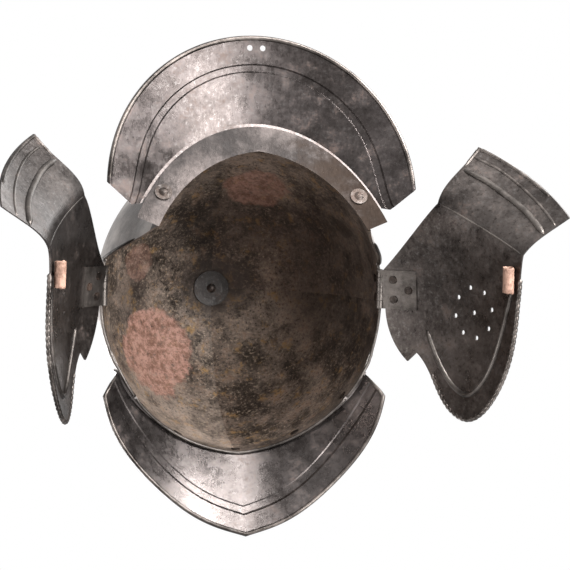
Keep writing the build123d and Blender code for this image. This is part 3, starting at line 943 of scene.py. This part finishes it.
@dataclass(frozen=True)
class Bead:
    """Round bar that lies along a line on a sheet, plain or roped.

    Radius, lift outside the sheet's face, and pitch of one rope turn are in metres, and step between
    two rings in millimetres. Flat is the height as a share of the width, depth that of a rope's notches
    as a share of the radius, and tip the ends' radius as a share of the whole one.
    """

    radius: float
    lift: float = 0.0
    flat: float = 1.0
    pitch: float = 0.0
    depth: float = 0.0
    step: float = 2.5
    sides: int = 12
    tip: float = 0.35
    tip_rings: int = 3

    def build(self, name: str, points: list[Vector], outward: list[Vector], body: str, slot: str,
              material: Material) -> None:
        """Build the bar.

        Args:
            name: Its name.
            points: Its centre line.
            outward: The sheet's normal at each point.
            body: The body that it rides on.
            slot: Not used.
            material: Its finish.
        """
        shape = bmesh.new()
        made = bmesh.ops.create_circle(shape, cap_ends=False, segments=self.sides, radius=self.radius)
        ring = list(made["verts"])
        edges = list({edge for vert in ring for edge in vert.link_edges})
        first = ring
        last = len(points) - 1
        run = 0.0
        for index, point in enumerate(points):
            along = (points[min(index + 1, last)] - points[max(index - 1, 0)]).normalized()
            across = along.cross(outward[index]).normalized()
            lift = across.cross(along)
            if index:
                run += (point - points[index - 1]).length
                grown = bmesh.ops.extrude_edge_only(shape, edges=edges)["geom"]
                fresh = {item for item in grown if isinstance(item, bmesh.types.BMVert)}
                edges = [item for item in grown if isinstance(item, bmesh.types.BMEdge)
                         and item.verts[0] in fresh and item.verts[1] in fresh]
                ring = [next_in_ring(vert, fresh) for vert in ring]
            taper = min(1.0, self.tip + min(index, last - index) / self.tip_rings)
            for number, vert in enumerate(ring):
                turn = 2 * math.pi * number / self.sides
                size = self.radius * taper
                if self.pitch:
                    wave = abs(math.sin(math.pi * (run / self.pitch + number / self.sides)))
                    size *= 1.0 - self.depth * (1.0 - wave) ** 2
                vert.co = point + across * (size * math.cos(turn)) + lift * (size * self.flat * math.sin(turn))
        bmesh.ops.contextual_create(shape, geom=first)
        bmesh.ops.contextual_create(shape, geom=ring)
        piece = close_piece(shape, name, material)
        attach(piece, body)


@dataclass(frozen=True)
class RolledEdge:
    """Roll along a cheek piece's edge, which goes round a centre from one direction to another.

    The centre is in millimetres down and forward from the hinge, and directions are in degrees, 0
    straight down and 90 forward.
    """

    name: str
    bead: Bead
    centre: SheetPoint
    turn: Span
    points: int


@dataclass(frozen=True)
class RaisedLine:
    """Line across a cheek piece, through points in millimetres down and forward from its hinge."""

    name: str
    bead: Bead
    worn: bool
    points: tuple[SheetPoint, ...]


@dataclass(frozen=True)
class StrapStub:
    """Worn leather stub: a short tail with a rolled end, placed by millimetres down and back."""

    down: float = 120.0
    back: float = 13.0
    width: float = 17.0 * MM
    tail: float = 10.0 * MM
    length: float = 34.0 * MM
    thickness: float = 1.5 * MM
    seat: float = 1.3 * MM
    roll: float = 4.0 * MM
    tighten: float = 0.055
    drift: float = 0.5 * MM
    drift_rate: float = 0.9
    ragged: float = 0.10
    ragged_scale: float = 300.0
    wave: float = 0.45 * MM
    wave_scale: float = 420.0
    wave_seed: float = 5.0
    steps_along: int = 54
    steps_across: int = 14

    def place(self, flat: Vector, seed: float) -> Vector:
        """Roll one point of the flat stub.

        Args:
            flat: The point on a square of side 1 around the origin.
            seed: Number that makes the two stubs differ.

        Returns:
            Metres along the sheet, outwards and across.
        """
        run = (flat.x + 0.5) * self.length
        wide = flat.y * self.width
        ragged = 1.0 + self.ragged * noise.noise(Vector((run * self.ragged_scale, 0.0, seed)))
        rough = Vector((run * self.wave_scale, wide * self.wave_scale, seed * self.wave_seed))
        wave = self.wave * noise.noise(rough)
        down, lift = run - self.tail, -self.seat
        if run > self.tail:
            turn = (run - self.tail) / self.roll
            reach = self.roll * (1.0 - self.tighten * turn)
            down = reach * math.sin(turn)
            lift = -self.seat - self.roll + reach * math.cos(turn)
            wide += self.drift * math.sin(turn * self.drift_rate)
        return Vector((down + wave, lift - abs(wave), wide * ragged))


@dataclass
class CheekPiece:
    """One cheek piece with its raised lines, roped edge, hinge leaf and strap stub."""

    side: Side
    finishes: Finishes
    strap: StrapStub = StrapStub()
    edges: tuple[RolledEdge, ...] = (
        RolledEdge("lobe_rope", Bead(1.75 * MM, 1.1 * MM, pitch=4.2 * MM, depth=0.34, step=0.7),
                   (78.0, 18.0), (-34.0, 132.0), 120),
        RolledEdge("collar_roll", Bead(1.5 * MM, 0.8 * MM), (92.0, -50.0), (-132.0, -28.0), 60),
    )
    edge_inset: float = 1.0
    lines: tuple[RaisedLine, ...] = (
        RaisedLine("lobe_line", Bead(1.9 * MM, 0.2 * MM, flat=0.85), False, (
            (38.0, 27.0), (44.0, 39.0), (52.0, 51.0), (64.0, 63.0), (79.0, 69.0), (91.0, 61.0),
            (100.0, 46.0), (107.0, 26.0), (113.0, 8.0), (118.0, -5.0))),
        RaisedLine("collar_line", Bead(2.3 * MM, 0.1 * MM, flat=0.85), False, (
            (59.5, -86.0), (75.0, -79.5), (95.0, -69.0), (116.0, -57.5), (139.0, -42.5))),
        RaisedLine("collar_edge_line", Bead(1.1 * MM, 0.2 * MM, flat=0.8), True, (
            (60.0, -95.5), (80.0, -87.0), (102.0, -74.5), (123.0, -61.5), (143.0, -48.0))),
        RaisedLine("crease_line", Bead(0.8 * MM, 0.3 * MM, flat=0.7), False, (
            (48.0, -64.3), (76.0, -52.0), (102.0, -40.5), (131.0, -27.8))),
    )
    search: EdgeSearch = EdgeSearch(farthest=130.0, nearest=3.0, step=3.0, rounds=10)
    ray_start: float = 0.1
    slope_step: float = 0.6

    def __post_init__(self) -> None:
        """Read the hinge's place from the record and the sheet from the frame."""
        joint = next(item for item in frame["joints"] if item["name"].startswith(self.side.value))
        self.hinge = Vector(joint["pos_m"])
        self.body = f"cheek_{self.side.value}"
        self.tree = tree_of(f"cheek_piece_{self.side.value}")
        angle = math.radians(CHEEK_REST[self.side])
        sign = self.side.sign
        self.down = Vector((sign * math.sin(angle), 0.0, -math.cos(angle)))
        self.out = Vector((sign * math.cos(angle), 0.0, math.sin(angle)))

    def find(self, down: float, forward: float) -> Optional[Vector]:
        """Inner face at millimetres down the sheet and forward from the hinge, or None past its edge."""
        base = self.hinge + self.down * (down * MM) + FORWARD * (forward * MM)
        return self.tree.ray_cast(base - self.out * self.ray_start, self.out)[0]

    def normal(self, down: float, forward: float) -> Vector:
        """Outward normal of the sheet from three points near a place.

        Args:
            down: Millimetres down the sheet.
            forward: Millimetres forward.

        Returns:
            The unit normal.
        """
        here = self.find(down, forward)
        lower = self.find(down + self.slope_step, forward)
        ahead = self.find(down, forward + self.slope_step)
        if here is None or lower is None or ahead is None:
            return self.out
        normal = (lower - here).cross(ahead - here).normalized()
        return normal if normal.dot(self.out) > 0 else -normal

    def edge_line(self, edge: RolledEdge) -> list[SheetPoint]:
        """Line just inside the sheet's edge.

        Args:
            edge: The edge to follow.

        Returns:
            Down and forward of each point.
        """
        line = []
        for angle in directions(edge.turn, edge.points):

            def place(reach: float) -> SheetPoint:
                """Down and forward at a distance from the centre."""
                return edge.centre[0] + reach * math.cos(angle), edge.centre[1] + reach * math.sin(angle)

            reach = self.search.edge(lambda value: self.find(*place(value)) is not None)
            line.append(place(reach - self.edge_inset))
        return line

    def spread(self, line: list[SheetPoint], step: float) -> list[SheetPoint]:
        """Space points evenly along a line.

        Args:
            line: Down and forward of each point.
            step: Millimetres between points.

        Returns:
            The evenly spaced points.
        """
        result = [line[0]]
        left = step
        for first, second in zip(line, line[1:]):
            length = math.dist(first, second)
            place = left
            while place <= length:
                share = place / length
                result.append(tuple(start + (end - start) * share for start, end in zip(first, second)))
                place += step
            left = place - length
        return result

    def bar(self, name: str, line: list[SheetPoint], bead: Bead, material: Material) -> None:
        """Lay a bead along a line on the sheet.

        Args:
            name: Name of the bar.
            line: Down and forward of its points.
            bead: Its section.
            material: Its finish.
        """
        points, normals = [], []
        for down, forward in self.spread(line, bead.step):
            point = self.find(down, forward)
            if point is None:
                continue
            normal = self.normal(down, forward)
            points.append(point + normal * bead.lift)
            normals.append(normal)
        bead.build(f"{name}_{self.side.value}", points, normals, self.body, "cheek_steel", material)

    def build_edges(self) -> None:
        """Rolled and roped edge of the lobe, and the plain roll of the collar."""
        for edge in self.edges:
            self.bar(edge.name, self.edge_line(edge), edge.bead, self.finishes.edge)

    def build_lines(self) -> None:
        """Raised line inside the lobe's edge, and those across the collar."""
        for line in self.lines:
            material = self.finishes.edge if line.worn else self.finishes.line
            self.bar(line.name, curve_through(line.points), line.bead, material)

    def build_strap(self) -> None:
        """Worn leather stub on the inner face, in place of the plain one."""
        strap = self.strap
        start = self.find(strap.down, -strap.back)
        out = self.normal(strap.down, -strap.back)
        along = (self.down - out * self.down.dot(out)).normalized()
        aside = out.cross(along).normalized()
        shape = bmesh.new()
        bmesh.ops.create_grid(shape, x_segments=strap.steps_along, y_segments=strap.steps_across, size=0.5)
        for vert in shape.verts:
            place = strap.place(vert.co, self.side.sign)
            vert.co = start + along * place.x + out * place.y + aside * place.z
        bmesh.ops.solidify(shape, geom=list(shape.faces), thickness=strap.thickness)
        piece = close_piece(shape, f"strap_leather_{self.side.value}", self.finishes.leather)
        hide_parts(f"strap_stub_{self.side.value}")
        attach(piece, self.body)

    def build(self) -> None:
        """Dress the CAD nodes and add the lines and edges."""
        dress(f"cheek_piece_{self.side.value}", self.finishes.cheek)
        for name in ("cheek_hinge_rivets", "skull_hinge_rivets", "hinge_pin", "strap_rivet"):
            dress(f"{name}_{self.side.value}", self.finishes.fitting)
        for name in ("cheek_hinge_leaf", "skull_hinge_leaf"):
            dress(f"{name}_{self.side.value}", self.finishes.line)
        self.build_edges()
        self.build_lines()
        self.build_strap()
        log.info("cheek piece %s", self.side.value)


@dataclass(frozen=True)
class Spot:
    """Patch, or dark patch of stain and painted shade, of the bowl at its place and size in the picture, in
    pixels.
    """

    column: float
    row: float
    wide: float
    tall: float
    strength: float
    stain_and_shade: bool = False


@dataclass
class Bowl:
    """Skull with its apex fittings."""

    sight: Sight
    finishes: Finishes
    spots: tuple[Spot, ...] = (
        # The first four spots are dark patches; those round the apex, at the right and under the nape flange
        # are painted shade.
        Spot(216.0, 284.0, 46.0, 42.0, 0.80, stain_and_shade=True),
        Spot(335.0, 270.0, 70.0, 110.0, 0.60, stain_and_shade=True),
        Spot(230.0, 225.0, 80.0, 36.0, 0.45, stain_and_shade=True),
        Spot(130.0, 300.0, 26.0, 40.0, 0.50, stain_and_shade=True),
        Spot(257.0, 188.0, 36.0, 22.0, 0.75),
        Spot(154.0, 352.0, 46.0, 50.0, 0.9),
        Spot(138.0, 262.0, 18.0, 22.0, 0.35),
        Spot(330.0, 425.0, 26.0, 16.0, 0.45),
    )

    def patches(self) -> tuple[Patch, ...]:
        """Find the patches on the bowl's inner face.

        Returns:
            One patch for each spot.
        """
        tree = tree_of("skull")
        found = []
        for spot in self.spots:
            hit = tree.ray_cast(self.sight.eye, self.sight.ray(spot.column, spot.row))[0]
            if hit is None:
                continue
            size = Vector((spot.wide, spot.tall, spot.wide + spot.tall)) / self.sight.pixels_per_metre
            found.append(Patch(hit, size, spot.strength, spot.stain_and_shade))
        return tuple(found)

    def build(self) -> None:
        """Dress the skull and its fittings."""
        dress("skull", replace(SKULL_IRON, patches=self.patches()).make())
        for name in ("finial_base", "finial", "peak_rivets"):
            dress(name, self.finishes.fitting)
        dress("apex_washer", APEX_IRON.make())
        log.info("bowl")


@dataclass(frozen=True)
class PlateEdge:
    """Outer edge of a plate, and the roll along it.

    Behind is how far the point that the edge goes round lies behind the origin, and turn the first and
    last direction from it in degrees, 0 to the rear and 90 to the left.
    """

    node: str
    body: str
    behind: float
    turn: Span
    bead: Bead
    points: int = 140
    search: EdgeSearch = EdgeSearch(farthest=190.0 * MM, nearest=60.0 * MM, step=1.5 * MM, rounds=9)
    inset: float = 1.7 * MM
    seat: float = 0.75 * MM
    ray_start: float = 0.3

    def line(self) -> list[Vector]:
        """Line just inside the edge.

        Returns:
            Points on the plate's lower face.
        """
        tree = tree_of(self.node)
        centre = Vector((0.0, self.behind, 0.0))
        line = []
        for ahead in map(horizontal, directions(self.turn, self.points)):

            def hit(reach: float) -> Optional[Vector]:
                """Lower face at a distance from the centre."""
                return tree.ray_cast(centre + ahead * reach - UP * self.ray_start, UP)[0]

            point = hit(self.search.edge(lambda reach: hit(reach) is not None) - self.inset)
            if point is not None:
                line.append(point)
        return line

    def build(self, name: str, material: Material) -> None:
        """Build the roll, with its name and finish."""
        points = [point - DOWN * self.seat for point in self.line()]
        self.bead.build(name, points, [DOWN] * len(points), self.body, "plate_steel", material)


@dataclass
class Plates:
    """Peak and neck guard with the guard's rivets and their rolled edges."""

    finishes: Finishes
    guard_edge: PlateEdge = PlateEdge("neck_guard", "neck_guard_plate", 0.080, (-88.0, 88.0), Bead(1.55 * MM))
    peak_edge: PlateEdge = PlateEdge("peak", "helmet", 0.0, (120.0, 240.0), Bead(1.4 * MM))

    def build(self) -> None:
        """Dress the plates and roll their edges."""
        dress("neck_guard", GUARD_STEEL.make())
        dress("peak", PEAK_STEEL_LIT.make())
        for side in Side:
            dress(f"neck_rivet_{side.value}", self.finishes.fitting)
            dress(f"neck_washer_{side.value}", self.finishes.fitting)
        self.guard_edge.build("guard_roll", self.finishes.edge)
        self.peak_edge.build("peak_roll", self.finishes.edge)
        log.info("plates")


@dataclass
class Rim:
    """Worn edge of the bowl's wall."""

    finishes: Finishes
    bead: Bead = Bead(1.1 * MM)
    turn: Span = (62.0, 298.0)
    points: int = 260
    lowest: float = -95.0 * MM
    highest: float = 5.0 * MM
    rounds: int = 12
    above_edge: float = 0.2 * MM
    into_wall: float = 0.9 * MM

    def build(self) -> None:
        """Run a bead along the wall's lower edge, from one nape end round the front to the other."""
        tree = tree_of("skull")
        points = []
        for ahead in map(horizontal, directions(self.turn, self.points)):

            def hit(level: float) -> Optional[Vector]:
                """Inner face of the wall at a level."""
                return tree.ray_cast(Vector((0.0, 0.0, level)), ahead)[0]

            edge = last_found(lambda level: hit(level) is not None, self.highest, self.lowest, self.rounds)
            point = hit(edge + self.above_edge)
            if point is not None:
                points.append(point + ahead * self.into_wall)
        self.bead.build("skull_rim", points, [DOWN] * len(points), "helmet", "skull_iron", self.finishes.line)
        log.info("rim")


def main() -> None:
    """Build the studio, the finishes and the helmet."""
    bpy.context.scene.view_settings.view_transform = "Standard"
    sight = Sight()
    sight.place_camera()
    Studio().build()
    finishes = Finishes.make()
    Bowl(sight, finishes).build()
    Plates(finishes).build()
    Rim(finishes).build()
    for side in Side:
        CheekPiece(side, finishes).build()


if __name__ == "__main__":
    main()
